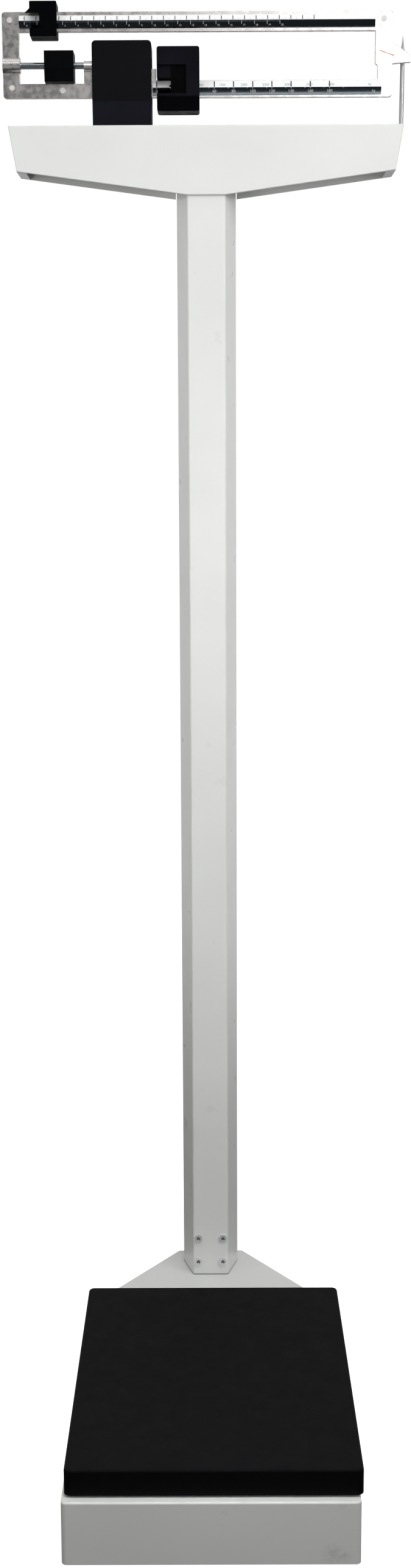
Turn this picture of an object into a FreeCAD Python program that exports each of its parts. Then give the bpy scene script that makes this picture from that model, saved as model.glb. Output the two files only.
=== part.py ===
import FreeCAD, Part
import math
import operator
import os

import Sketcher
from FreeCAD import Placement, Rotation, Vector

# A mechanical physician beam scale. Z is up, X runs along the beam, and the platform reaches
# towards -Y. The origin lies on the floor, under the middle of the whole scale. Millimetres.

DIMENSIONS = {
    # base pan
    "base_width": 275.0,
    "base_front": -270.0,
    "base_back": 270.0,
    "base_shoulder": 124.0,
    "base_tail_width": 76.0,
    "base_bottom": 1.5,
    "base_top": 63.5,
    "base_sheet": 2.5,
    "base_corner": 5.0,
    "base_bend": 2.0,
    "deck_opening_half": 122.0,
    "deck_opening_front": -255.0,
    "deck_opening_back": 105.0,
    # feet
    "foot_side": 113.0,
    "foot_front": -246.0,
    "foot_middle": 106.0,
    "foot_back": 249.0,
    "foot_back_side": 26.0,
    "foot_radius": 14.0,
    "stud_radius": 4.0,
    # levers in the base
    "knife_level": 35.0,
    "knife_side": 100.0,
    "main_fulcrum": -215.0,
    "main_load": -175.0,
    "short_fulcrum": 80.0,
    "short_load": 40.0,
    "short_nose": -67.5,
    "lever_bottom": 27.0,
    "lever_top": 43.0,
    "bearing_gap": 0.3,
    # platform
    "platform_width": 275.0,
    "platform_shift": 2.5,
    "platform_front": -262.0,
    "platform_back": 113.0,
    "platform_low": 66.0,
    "platform_high": 90.7,
    "platform_wall": 2.5,
    "platform_tray": 2.5,
    "platform_mat": 3.5,
    # column
    "column_front": 203.0,
    "column_face": 40.0,
    "column_width": 63.0,
    "column_shoulder": 242.0,
    "column_back": 250.0,
    "column_sheet": 1.5,
    "column_bend": 2.5,
    "column_high": 1285.0,
    "foot_screw_side": 14.2,
    "foot_screw_low": 80.0,
    "foot_screw_high": 108.5,
    # head
    "head_front": 200.0,
    "head_back": 250.0,
    "head_top": 1340.0,
    "head_half_top": 206.0,
    "head_half_low": 198.0,
    "head_end_low": 1294.0,
    "head_middle_low": 1270.0,
    "head_middle_half": 20.0,
    "head_sheet": 1.5,
    "head_lip": 10.0,
    "head_bend": 1.2,
    # beam frame
    "beam_plane": 230.0,
    "beam_plate": 4.0,
    "beam_left": -212.8,
    "beam_right": 195.5,
    "beam_top": 1458.0,
    "beam_bottom": 1371.5,
    "top_rail": 20.5,
    "left_rail": 18.0,
    "right_rail": 18.2,
    "bottom_rail_left": 15.0,
    "bottom_rail_right": 18.0,
    "beam_corner": 3.5,
    "beam_edge": 0.5,
    "web_left": -127.6,
    "web_right": -52.0,
    "web_top": 1409.0,
    "tongue_tip": 214.5,
    "fulcrum_x": -87.5,
    "fulcrum_z": 1410.0,
    "load_arm": 22.0,
    "knife_height": 6.0,
    "knife_half": 3.0,
    # scale bars
    "fine_bar_mid": 1448.0,
    "main_bar_mid": 1381.0,
    "main_bar_left": -55.6,
    "main_bar_right": 183.8,
    "bar_depth": 5.5,
    "notch_pitch": 20.1,
    "notch_count": 10.0,
    "main_zero": -51.3,
    # poises and counterweight
    "fine_poise_left": -182.7,
    "fine_poise_width": 28.1,
    "fine_poise_low": 1431.2,
    "fine_poise_high": 1466.0,
    "main_poise_left": -51.0,
    "main_poise_width": 44.4,
    "main_poise_low": 1356.6,
    "main_poise_high": 1420.0,
    "weight_left": -168.5,
    "weight_width": 30.6,
    "weight_low": 1387.3,
    "weight_high": 1417.4,
    "block_edge": 0.8,
    "screw_level": 1404.6,
    "screw_radius": 3.3,
    "boss_radius": 7.8,
    # transfer lever and draft rod
    "transfer_level": 1318.0,
    "transfer_fulcrum": 27.5,
    "rod_radius": 2.5,
    # pivot cover and balance post
    "cover_left": -118.5,
    "cover_right": -56.5,
    "cover_front": 213.0,
    "cover_back": 247.0,
    "cover_high": 1426.5,
    "cover_crease": 1366.5,
    "cover_wall": 2.0,
    "cover_edge": 0.8,
    "post_foot_x": 206.4,
    "post_radius": 2.3,
    "post_lean": 0.5,
}

OPERATIONS = {"+": operator.add, "-": operator.sub, "*": operator.mul, "/": operator.truediv}


class Size:
    """A number together with the sheet expression that gives it, so that sums stay bound."""

    def __init__(self, value, text):
        self.value = value
        self.text = text

    def __add__(self, other):
        return combine(self, other, "+")

    def __radd__(self, other):
        return combine(other, self, "+")

    def __sub__(self, other):
        return combine(self, other, "-")

    def __rsub__(self, other):
        return combine(other, self, "-")

    def __mul__(self, other):
        return combine(self, other, "*")

    def __rmul__(self, other):
        return combine(other, self, "*")

    def __truediv__(self, other):
        return combine(self, other, "/")

    def __neg__(self):
        return combine(0, self, "-")

    def __float__(self):
        return self.value


def as_size(thing):
    if isinstance(thing, Size):
        return thing
    return Size(float(thing), f"({float(thing)})")


def combine(left, right, sign):
    left, right = as_size(left), as_size(right)
    value = OPERATIONS[sign](left.value, right.value)
    return Size(value, f"({left.text} {sign} {right.text})")


class Sheet:
    """The driving dimensions, by name, each bound to its own cell."""

    def __init__(self, document, dimensions):
        self.cells = document.addObject("Spreadsheet::Sheet", "dims")
        self.values = dimensions
        for row, (name, value) in enumerate(dimensions.items(), start=1):
            self.cells.set(f"A{row}", name)
            self.cells.set(f"B{row}", str(value))
            self.cells.setAlias(f"B{row}", name)

    def __getattr__(self, name):
        return Size(self.values[name], f"dims.{name}")


doc = FreeCAD.newDocument("beam_scale")
d = Sheet(doc, DIMENSIONS)
doc.recompute()
nodes = []

PLANES = {"XY": 1.0, "XZ": -1.0, "YZ": 1.0}
AXIS_TURNS = {
    "X": Rotation(Vector(0, 1, 0), 90),
    "Y": Rotation(Vector(1, 0, 0), -90),
    "Z": Rotation(),
}


def node(name, thing):
    """Names a finished sub-part, which then has its own file."""
    thing.Label = name
    nodes.append(thing)
    return thing


def bind(thing, target, size):
    thing.setExpression(target, as_size(size).text)


def place(thing, x, y, z, rotation=None):
    if rotation is not None:
        thing.Placement = Placement(Vector(float(x), float(y), float(z)), rotation)
    bind(thing, "Placement.Base.x", x)
    bind(thing, "Placement.Base.y", y)
    bind(thing, "Placement.Base.z", z)


def block(x0, x1, y0, y1, z0, z1):
    """A box between two opposite corners."""
    box = doc.addObject("Part::Box", "block")
    bind(box, "Length", x1 - as_size(x0))
    bind(box, "Width", y1 - as_size(y0))
    bind(box, "Height", z1 - as_size(z0))
    place(box, x0, y0, z0)
    return box


def rod(axis, radius, start, end, first, second):
    """A cylinder along an axis; first and second are its place on the other two axes, in order."""
    cylinder = doc.addObject("Part::Cylinder", "rod")
    bind(cylinder, "Radius", radius)
    bind(cylinder, "Height", end - as_size(start))
    where = {"X": (start, first, second), "Y": (first, start, second), "Z": (first, second, start)}
    place(cylinder, *where[axis], rotation=AXIS_TURNS[axis])
    return cylinder


def hexagon(radius, x, y, z0, z1):
    prism = doc.addObject("Part::Prism", "hexagon")
    prism.Polygon = 6
    bind(prism, "Circumradius", radius)
    bind(prism, "Height", z1 - as_size(z0))
    place(prism, x, y, z0)
    return prism


def fuse(*things):
    joined = doc.addObject("Part::MultiFuse", "fuse")
    joined.Shapes = list(things)
    joined.Refine = True
    return joined


def cut(base, *tools):
    result = doc.addObject("Part::Cut", "cut")
    result.Base = base
    result.Tool = tools[0] if len(tools) == 1 else fuse(*tools)
    result.Refine = True
    return result


def group(*things):
    """Separate solids that share one node."""
    together = doc.addObject("Part::Compound", "group")
    together.Links = list(things)
    return together


def hold_point(sketch, geometry, position, x, y):
    """Pins a sketch point to the origin with one size along each axis."""
    for kind, axis, size in (("DistanceX", -2, as_size(x)), ("DistanceY", -1, as_size(y))):
        if abs(size.value) < 1e-9:
            sketch.addConstraint(Sketcher.Constraint("PointOnObject", geometry, position, axis))
            continue
        ends = (-1, 1, geometry, position) if size.value > 0 else (geometry, position, -1, 1)
        size = size if size.value > 0 else -size
        index = sketch.addConstraint(Sketcher.Constraint(kind, *ends, size.value))
        bind(sketch, f"Constraints[{index}]", size)


def draw_loop(sketch, loop):
    """Draws a closed outline from its corners, or a circle given as its centre and radius."""
    first = sketch.GeometryCount
    if isinstance(loop[-1], tuple):
        points = [Vector(float(x), float(y), 0) for x, y in loop]
        count = len(points)
        for i in range(count):
            sketch.addGeometry(Part.LineSegment(points[i], points[(i + 1) % count]), False)
        for i in range(count):
            after = first + (i + 1) % count
            sketch.addConstraint(Sketcher.Constraint("Coincident", first + i, 2, after, 1))
        for i, (x, y) in enumerate(loop):
            hold_point(sketch, first + i, 1, x, y)
        return
    x, y, radius = loop
    centre = Vector(float(x), float(y), 0)
    sketch.addGeometry(Part.Circle(centre, Vector(0, 0, 1), float(radius)), False)
    hold_point(sketch, first, 3, x, y)
    index = sketch.addConstraint(Sketcher.Constraint("Radius", first, float(radius)))
    bind(sketch, f"Constraints[{index}]", radius)


def add_sketch(body, plane, loops, middle):
    sketch = body.newObject("Sketcher::SketchObject", "sketch")
    support = next(f for f in body.Origin.OriginFeatures if f.Role == f"{plane}_Plane")
    sketch.AttachmentSupport = [(support, "")]
    sketch.MapMode = "FlatFace"
    bind(sketch, "AttachmentOffset.Base.z", middle * PLANES[plane])
    for loop in loops:
        draw_loop(sketch, loop)
    return sketch


def add_pad(body, plane, loops, low, high):
    """Pads outlines drawn on an origin plane from one level across it to another."""
    pad = body.newObject("PartDesign::Pad", "pad")
    pad.Profile = add_sketch(body, plane, loops, (low + as_size(high)) / 2)
    pad.SideType = "Symmetric"
    bind(pad, "Length", high - as_size(low))
    body.Tip = pad
    return pad


def add_pocket(body, plane, loops, low, high):
    """Cuts outlines out of a body between two levels, and makes sure that something was cut."""
    doc.recompute()
    before = body.Shape.Volume
    pocket = body.newObject("PartDesign::Pocket", "pocket")
    pocket.Profile = add_sketch(body, plane, loops, (low + as_size(high)) / 2)
    pocket.SideType = "Symmetric"
    bind(pocket, "Length", high - as_size(low))
    body.Tip = pocket
    doc.recompute()
    if body.Shape.Volume > before - 1e-3:
        raise RuntimeError(f"a pocket in {body.Name} cut nothing")
    return pocket


def plate(plane, loops, low, high):
    """A body padded from outlines on an origin plane, between two levels across that plane."""
    body = doc.addObject("PartDesign::Body", "body")
    add_pad(body, plane, loops, low, high)
    return body


def round_edges(body, radius, wanted):
    """Fillets each edge whose two ends satisfy a test."""
    doc.recompute()
    names = []
    for number, edge in enumerate(body.Shape.Edges, start=1):
        ends = [vertex.Point for vertex in edge.Vertexes]
        if len(ends) == 2 and wanted(*ends):
            names.append(f"Edge{number}")
    base = body.Tip
    fillet = body.newObject("PartDesign::Fillet", "fillet")
    fillet.Base = (base, names)
    bind(fillet, "Radius", radius)
    body.Tip = fillet
    return fillet


def turned(profile):
    """A body of revolution about Z, from (radius, height) corners."""
    body = doc.addObject("PartDesign::Body", "turned")
    sketch = add_sketch(body, "XZ", [profile], as_size(0))
    revolution = body.newObject("PartDesign::Revolution", "revolution")
    revolution.Profile = sketch
    revolution.ReferenceAxis = (sketch, ["V_Axis"])
    revolution.Angle = 360
    body.Tip = revolution
    return body


def upright(a, b, axis="z"):
    """True for an edge that runs along one axis."""
    others = [name for name in "xyz" if name != axis]
    return all(abs(getattr(a, name) - getattr(b, name)) < 1e-6 for name in others)


def in_front_of(depth):
    """A test for edges that lie nearer the front than a depth."""
    limit = float(depth) + 0.01
    return lambda a, b: a.y < limit and b.y < limit


def mirrored(points):
    """The outline points followed by their mirror images across X = 0, in reverse order."""
    return points + [(-x, y) for x, y in reversed(points)]


def rectangle(x0, x1, y0, y1):
    return [(x0, y0), (x1, y0), (x1, y1), (x0, y1)]


def knife(centre, edge, tip, height, half):
    """A triangular outline whose sharp corner is at (centre, edge); tip is -1 down or 1 up."""
    back = edge - tip * as_size(height)
    return [(centre, edge), (centre + half, back), (centre - half, back)]


def vee_block(centre, half, foot, mouth, edge, tip, vee_half):
    """An outline with a V that receives a knife edge; tip is -1 where the edge points down."""
    root = edge + tip * d.bearing_gap
    return [
        (centre - half, foot),
        (centre + half, foot),
        (centre + half, mouth),
        (centre + vee_half, mouth),
        (centre, root),
        (centre - vee_half, mouth),
        (centre - half, mouth),
    ]


def screw_out_of_y(face, x, z, side, head_radius, head_height, shank_radius, shank_length):
    """A cross-head screw on a face square to Y; side is -1 where its head points to -Y."""
    out = face + side * as_size(head_height)
    deep = face - side * as_size(shank_length)
    low, high = sorted((as_size(face), out), key=float)
    head = rod("Y", head_radius, low, high, x, z)
    low, high = sorted((as_size(face), deep), key=float)
    shank = rod("Y", shank_radius, low, high, x, z)
    slot = head_radius * 0.62
    wide = head_radius * 0.13
    floor = face + side * as_size(head_height) * 0.4
    low, high = sorted((floor, out + side * 1.0), key=float)
    across = block(x - slot, x + slot, low, high, z - wide, z + wide)
    down = block(x - wide, x + wide, low, high, z - slot, z + slot)
    return cut(fuse(head, shank), across, down)


def bolt_down(x, y, face, head_radius, head_height, shank_radius, shank_length):
    """A hexagon bolt that stands on a level face."""
    head = hexagon(head_radius, x, y, face, face + head_height)
    shank = rod("Z", shank_radius, face - shank_length, face, x, y)
    return fuse(head, shank)


# ---- base ----

half_base = d.base_width / 2
half_tail = d.base_tail_width / 2
taper = math.atan2(float(half_base - half_tail), float(d.base_back - d.base_shoulder))
shoulder_set = d.base_sheet * math.tan(taper / 2)
tail_set = d.base_sheet * math.tan((math.pi / 2 - taper) / 2)
deck_under = d.base_top - d.base_sheet
rod_y = d.beam_plane
rod_hole = 12.0
foot_places = [(side * d.foot_side, y) for side in (-1, 1) for y in (d.foot_front, d.foot_middle)]
foot_places += [(side * d.foot_back_side, d.foot_back) for side in (-1, 1)]
socket_bolt_places = [(side * 19.0, 233.0) for side in (-1, 1)]
socket_bolt_places += [(side * 11.0, 213.5) for side in (-1, 1)]


def on_rim(point, top):
    """True for a corner of the deck's outer edge, which its opening doesn't share."""
    beside = abs(point.x) > float(d.deck_opening_half) + 1
    before = point.y < float(d.deck_opening_front) - 1
    behind = point.y > float(d.deck_opening_back) + 1
    return abs(point.z - top) < 0.01 and (beside or before or behind)


def base_pan():
    """The pressed skirt with its deck: a rectangle under the platform, narrowing to the column."""
    outline = mirrored(
        [(half_base, d.base_front), (half_base, d.base_shoulder), (half_tail, d.base_back)]
    )
    body = plate("XY", [outline], d.base_bottom, d.base_top)
    inner_half = half_base - d.base_sheet
    inside = mirrored(
        [
            (inner_half, d.base_front + d.base_sheet),
            (inner_half, d.base_shoulder - shoulder_set),
            (half_tail - tail_set, d.base_back - d.base_sheet),
        ]
    )
    add_pocket(body, "XY", [inside], d.base_bottom - 1, deck_under)
    opening = rectangle(
        -d.deck_opening_half, d.deck_opening_half, d.deck_opening_front, d.deck_opening_back
    )
    holes = [(as_size(0), rod_y, as_size(rod_hole))]
    holes += [(as_size(x), as_size(y), as_size(2.7)) for x, y in socket_bolt_places]
    add_pocket(body, "XY", [opening] + holes, deck_under - 1, d.base_top + 1)
    front = float(d.base_front)
    side = float(half_base)
    round_edges(
        body,
        d.base_corner,
        lambda a, b: upright(a, b) and abs(a.y - front) < 0.01 and abs(abs(a.x) - side) < 0.01,
    )
    top = float(d.base_top)
    round_edges(body, d.base_bend, lambda a, b: on_rim(a, top) and on_rim(b, top))
    return node("base_pan", body)


corner_plate_low = 15.0
corner_plate_high = 18.0


def base_corner_plates():
    """Welded plates inside the skirt that carry the feet."""
    wall = half_base - d.base_sheet
    plates = []
    for side in (-1, 1):
        x0, x1 = sorted((side * as_size(92), side * wall), key=float)
        for y0, y1 in ((d.base_front + d.base_sheet, as_size(-224)), (as_size(90), as_size(122))):
            plates.append(block(x0, x1, y0, y1, corner_plate_low, corner_plate_high))
    plates.append(block(-36, 36, 232, 264, corner_plate_low, corner_plate_high))
    holes = [rod("Z", d.stud_radius + 0.3, 14, 19, x, y) for x, y in foot_places]
    return node("base_corner_plates", cut(group(*plates), *holes))


def levelling_feet():
    feet = []
    for x, y in foot_places:
        pad = rod("Z", d.foot_radius, 0, 5, x, y)
        hub = rod("Z", d.foot_radius * 0.6, 5, 10, x, y)
        feet.append(fuse(pad, hub))
    return node("levelling_feet", group(*feet))


def foot_studs():
    studs = []
    for x, y in foot_places:
        stud = rod("Z", d.stud_radius, 10, 31, x, y)
        lower_nut = hexagon(7.0, x, y, 11, corner_plate_low)
        upper_nut = hexagon(7.0, x, y, corner_plate_high, 23)
        studs.append(fuse(stud, lower_nut, upper_nut))
    return node("foot_studs", group(*studs))


rail_low = 8.0
rail_high = 14.0
stand_half = 7.0
stand_top = 38.0


def base_rails():
    """Two flat cross rails that carry the lever stands."""
    wall = half_base - d.base_sheet
    rails = []
    for middle in (d.main_fulcrum, d.short_fulcrum):
        rails.append(block(-wall, wall, middle - 15, middle + 15, rail_low, rail_high))
    return node("base_rails", group(*rails))


def lever_stands(name, middle):
    """A pair of V bearings that carry a lever's fulcrum knives."""
    stands = []
    for side in (-1, 1):
        outline = vee_block(
            middle, stand_half, as_size(rail_high), as_size(stand_top), d.knife_level, -1, 4.0
        )
        centre = side * d.knife_side
        stands.append(plate("YZ", [outline], centre - 7, centre + 7))
    return node(name, group(*stands))


# ---- column ----

half_face = d.column_face / 2
half_column = d.column_width / 2
slope = (half_column - half_face) / (d.column_shoulder - d.column_front)


def column_inside(y, gap):
    """Half the column's inner width at a depth, less a gap."""
    return half_face - 1.1 + slope * (y - (d.column_front + d.column_sheet)) - gap


def column_profile():
    """The folded front of the column: a flat face, slanted flanks and short straight returns."""
    inner_front = d.column_front + d.column_sheet
    inner_half = half_column - d.column_sheet
    outline = mirrored(
        [
            (half_face, d.column_front),
            (half_column, d.column_shoulder),
            (half_column, d.column_back),
            (inner_half, d.column_back),
            (inner_half, d.column_shoulder + 0.2),
            (half_face - 1.1, inner_front),
        ]
    )
    body = plate("XY", [outline], d.base_top, d.column_high)
    face = float(d.column_front)
    round_edges(body, d.column_bend, lambda a, b: upright(a, b) and abs(a.y - face) < 0.01)
    holes = [
        (side * d.foot_screw_side, z, as_size(2.3))
        for side in (-1, 1)
        for z in (d.foot_screw_low, d.foot_screw_high)
    ]
    add_pocket(body, "XZ", holes, d.column_front - 1, inner_front + 1)
    return node("column_profile", body)


brace_levels = (200.0, 700.0, 1180.0)


def column_back_cover():
    """The flat strip that closes the column's back, with two short flanges."""
    outer = half_column - d.column_sheet - 0.2
    inner = outer - d.column_sheet
    outline = mirrored(
        [
            (outer, d.column_back),
            (outer, d.column_shoulder + 1),
            (inner, d.column_shoulder + 1),
            (inner, d.column_back - d.column_sheet),
        ]
    )
    body = plate("XY", [outline], d.base_top + 0.5, d.column_high)
    holes = [(as_size(0), as_size(z), as_size(1.9)) for z in brace_levels]
    add_pocket(body, "XZ", holes, d.column_back - 3, d.column_back + 1)
    return node("column_back_cover", body)


def column_braces():
    """Cross braces that the back cover is screwed to."""
    wide = half_column - d.column_sheet * 2 - 0.5
    back = d.column_back - d.column_sheet
    braces = []
    for z in brace_levels:
        body = block(-wide, wide, d.column_shoulder + 1, back, z - 7, z + 7)
        braces.append(cut(body, rod("Y", 1.9, d.column_shoulder, back + 1, 0, z)))
    return node("column_braces", group(*braces))


def column_back_screws():
    screws = [
        screw_out_of_y(d.column_back, as_size(0), as_size(z), 1, 3.4, 1.8, 1.8, 6) for z in brace_levels
    ]
    return node("column_back_screws", group(*screws))


socket_top = 130.0
socket_foot = 67.5


def column_socket():
    """The bracket inside the column's foot: a tapered channel on a flat foot, bolted to the deck."""
    front = d.column_front + d.column_sheet + 0.3
    back = d.column_shoulder - 1
    outer = [(column_inside(front, 0.4), front), (column_inside(back, 0.4), back)]
    wall = 3.0
    inner = [(outer[1][0] - wall, back), (outer[0][0] - wall * 0.8, front + wall)]
    body = plate("XY", [mirrored(outer + inner)], socket_foot, socket_top)
    add_pad(body, "XY", [mirrored(outer)], d.base_top, socket_foot)
    holes = [(as_size(x), as_size(y), as_size(2.7)) for x, y in socket_bolt_places]
    holes.append((as_size(0), rod_y, as_size(8)))
    add_pocket(body, "XY", holes, d.base_top - 1, socket_foot + 1)
    screw_holes = [
        (side * d.foot_screw_side, z, as_size(2.1))
        for side in (-1, 1)
        for z in (d.foot_screw_low, d.foot_screw_high)
    ]
    add_pocket(body, "XZ", screw_holes, front - 1, front + wall + 1)
    return node("column_socket", body)


def column_socket_bolts():
    bolts = [bolt_down(x, y, socket_foot, 4.2, 3, 2.5, 8) for x, y in socket_bolt_places]
    return node("column_socket_bolts", group(*bolts))


def column_foot_screws():
    screws = []
    for side in (-1, 1):
        for z in (d.foot_screw_low, d.foot_screw_high):
            x = side * d.foot_screw_side
            screws.append(screw_out_of_y(d.column_front, x, z, -1, 4.6, 2.4, 2.0, 7))
    return node("column_foot_screws", group(*screws))


# ---- head ----

shell_back = d.head_back - d.head_sheet
roof_under = d.head_top - d.head_sheet
low_slope = (d.head_end_low - d.head_middle_low) / (d.head_half_low - d.head_middle_half)
standoff_places = [(-185.0, 1318.0), (185.0, 1318.0), (100.0, 1300.0), (-135.0, 1302.0)]
stand_bolt_places = [(x, y) for x in (-99.9, -70.0) for y in (223.0, 237.0)]
cover_clip_places = [(x, y) for x in (-109.5, -61.5) for y in (219.8, 244.2)]
link_x = d.fulcrum_x - d.load_arm


def head_shell():
    """The folded head: a face, roof and ends, open below between two short lips."""
    outline = mirrored(
        [
            (d.head_half_top, d.head_top),
            (d.head_half_low, d.head_end_low),
            (d.head_middle_half, d.head_middle_low),
        ]
    )
    body = plate("XZ", [outline], d.head_front, shell_back)
    round_edges(body, d.head_bend, in_front_of(d.head_front))
    lip = d.head_half_low - d.head_lip
    lip_top = d.head_end_low - low_slope * d.head_lip + d.head_sheet
    inside = mirrored(
        [
            (d.head_half_top - d.head_sheet - 0.2, roof_under),
            (d.head_half_low - d.head_sheet, d.head_end_low + d.head_sheet),
            (lip, lip_top),
            (lip, d.head_middle_low - 20),
        ]
    )
    add_pocket(body, "XZ", [inside], d.head_front + d.head_sheet, shell_back + 5)
    slot = rectangle(link_x - 5.3, link_x + 5.1, 221.2, 238.8)
    post_hole = (d.post_foot_x, as_size(238), as_size(1.9))
    bolts = [(as_size(x), as_size(y), as_size(2.2)) for x, y in stand_bolt_places]
    clips = [(as_size(x), as_size(y), as_size(1.0)) for x, y in cover_clip_places]
    add_pocket(body, "XY", [slot, post_hole] + bolts + clips, roof_under - 1, d.head_top + 1)
    return node("head_shell", body)


def head_back_plate():
    """The flat plate that closes the head's back, notched over the column."""
    notch = half_column + 1
    notch_low = d.head_middle_low + low_slope * (notch - d.head_middle_half)
    outline = mirrored(
        [
            (d.head_half_top, d.head_top),
            (d.head_half_low, d.head_end_low),
            (notch, notch_low),
            (notch, d.column_high + 1),
        ]
    )
    holes = [(as_size(x), as_size(z), as_size(1.9)) for x, z in standoff_places]
    return node("head_back_plate", plate("XZ", [outline] + holes, shell_back, d.head_back))


def head_standoffs():
    """Round spacers between the head's face and its back plate."""
    posts = []
    for x, z in standoff_places:
        post = rod("Y", 4, d.head_front + d.head_sheet, shell_back, x, z)
        posts.append(cut(post, rod("Y", 1.9, shell_back - 12, shell_back + 1, x, z)))
    return node("head_standoffs", group(*posts))


def head_back_screws():
    screws = [
        screw_out_of_y(d.head_back, as_size(x), as_size(z), 1, 3.4, 1.8, 1.8, 10)
        for x, z in standoff_places
    ]
    return node("head_back_screws", group(*screws))


bracket_half = 68.0
bracket_flange = 104.0
bracket_plate = 5.0
bracket_front = 206.0
bracket_back = 244.0


def head_bracket():
    """The channel on top of the column that carries the roof of the head."""
    floor = d.column_high
    top = floor + bracket_plate
    outline = mirrored(
        [
            (as_size(bracket_half), floor),
            (as_size(bracket_half), roof_under - 4),
            (as_size(bracket_flange), roof_under - 4),
            (as_size(bracket_flange), roof_under),
            (as_size(bracket_half - 4), roof_under),
            (as_size(bracket_half - 4), top),
        ]
    )
    body = plate("XZ", [outline], bracket_front, bracket_back)
    rod_opening = rectangle(-14, 14, 218, 241.5)
    add_pocket(body, "XY", [rod_opening], floor - 1, top + 1)
    bolts = [(as_size(x), as_size(y), as_size(2.2)) for x, y in stand_bolt_places]
    add_pocket(body, "XY", bolts, roof_under - 5, roof_under + 1)
    lever_window = rectangle(224, 236, 1300, 1332)
    add_pocket(body, "YZ", [lever_window], -bracket_half - 1, -bracket_half + 5)
    return node("head_bracket", body)


# ---- beam support on the head ----

cheeks = ((219.0, 223.0), (237.0, 241.0))
cheek_half = 8.0
stand_base_top = 1345.0
cheek_top = 1400.0
bearing_top = 1413.0


def beam_stand():
    """A foot with two cheeks, one each side of the beam's web."""
    foot = block(link_x + 5.5, -66, 219.3, 243.5, d.head_top, stand_base_top)
    walls = [
        block(d.fulcrum_x - cheek_half, d.fulcrum_x + cheek_half, y0, y1, stand_base_top - 3, cheek_top)
        for y0, y1 in cheeks
    ]
    holes = [rod("Z", 2.2, d.head_top - 1, stand_base_top + 1, x, y) for x, y in stand_bolt_places]
    stop_holes = [rod("Z", 2.1, d.head_top, stand_base_top + 1, x, d.beam_plane) for x in stop_places]
    return node("beam_stand", cut(fuse(foot, *walls), *holes, *stop_holes))


def beam_stand_bolts():
    bolts = [bolt_down(x, y, stand_base_top, 3.4, 3, 2.0, 14) for x, y in stand_bolt_places]
    return node("beam_stand_bolts", group(*bolts))


def fulcrum_bearings():
    """Hard V blocks on the cheeks; the beam's fulcrum knife rests in them."""
    outline = vee_block(
        d.fulcrum_x, 7.0, as_size(cheek_top), as_size(bearing_top), d.fulcrum_z, -1, 5.5
    )
    blocks = [plate("XZ", [outline], y0, y1) for y0, y1 in cheeks]
    return node("fulcrum_bearings", group(*blocks))


stop_arm = 13.0
stop_places = [d.fulcrum_x - stop_arm, d.fulcrum_x + stop_arm]
stop_gap = 0.8


def beam_stop_screws():
    """Screws under the web that limit the beam's swing."""
    screws = []
    for x in stop_places:
        shank = rod("Z", 2.0, d.head_top + 1, d.beam_bottom - stop_gap, x, d.beam_plane)
        nut = hexagon(3.4, x, d.beam_plane, stand_base_top, stand_base_top + 3.2)
        screws.append(fuse(shank, nut))
    return node("beam_stop_screws", group(*screws))


def pivot_cover():
    """The black hood over the fulcrum: its front leans back below a crease, its ends are slotted."""
    lean = 4.0
    outline = [
        (d.cover_front + lean, d.head_top),
        (d.cover_back, d.head_top),
        (d.cover_back, d.cover_high),
        (d.cover_front, d.cover_high),
        (d.cover_front, d.cover_crease),
    ]
    body = plate("YZ", [outline], d.cover_left, d.cover_right)
    wall = d.cover_wall
    front_half = float(d.cover_front) + 1
    top = float(d.cover_high)
    round_edges(
        body,
        4,
        lambda a, b: upright(a, b, "y") and abs(a.z - top) < 0.01 and min(a.y, b.y) < front_half,
    )
    round_edges(body, d.cover_edge, in_front_of(d.cover_front + lean))
    inside = [
        (d.cover_front + lean + wall, d.head_top - 1),
        (d.cover_back - wall, d.head_top - 1),
        (d.cover_back - wall, d.cover_high - wall),
        (d.cover_front + wall, d.cover_high - wall),
        (d.cover_front + wall, d.cover_crease),
    ]
    add_pocket(body, "YZ", [inside], d.cover_left + wall, d.cover_right - wall)
    slot = rectangle(218.6, 235.0, 1364.0, 1412.0)
    add_pocket(body, "YZ", [slot], d.cover_left - 1, d.cover_left + wall + 1)
    add_pocket(body, "YZ", [slot], d.cover_right - wall - 1, d.cover_right + 1)
    return node("pivot_cover", body)


def pivot_cover_clips():
    """Spring clips that hold the hood to the roof of the head."""
    clips = []
    for x, y in cover_clip_places:
        tab = block(x - 2.5, x + 2.5, y - 0.6, y + 0.6, d.head_top, d.head_top + 8)
        clips.append(fuse(tab, rod("Z", 0.9, d.head_top - 5, d.head_top, x, y)))
    return node("pivot_cover_clips", group(*clips))


def balance_post():
    """The leaning pointed post that the beam's tongue swings past, riveted into the roof."""
    radius = d.post_radius
    profile = [
        (as_size(0), -d.head_sheet),
        (as_size(1.7), -d.head_sheet),
        (as_size(1.7), as_size(0.1)),
        (radius, as_size(0.1)),
        (radius, as_size(80)),
        (radius * 0.72, as_size(81)),
        (as_size(0), as_size(95.6)),
    ]
    body = turned(profile)
    lean = Rotation(Vector(0, 1, 0), float(d.post_lean))
    place(body, d.post_foot_x, 238, d.head_top, rotation=lean)
    return node("balance_post", body)


# ---- transfer lever in the head ----

transfer_cheeks = ((217.5, 222.0), (238.0, 242.5))
bracket_top = d.column_high + bracket_plate


def transfer_stand():
    """The support of the transfer lever, on the head bracket."""
    middle = d.transfer_fulcrum
    foot = block(middle - 11, middle + 11, 214, 244, bracket_top, bracket_top + 4)
    walls = [
        block(middle - 8, middle + 8, y0, y1, bracket_top + 4, d.transfer_level - 6)
        for y0, y1 in transfer_cheeks
    ]
    return node("transfer_stand", fuse(foot, *walls))


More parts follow.
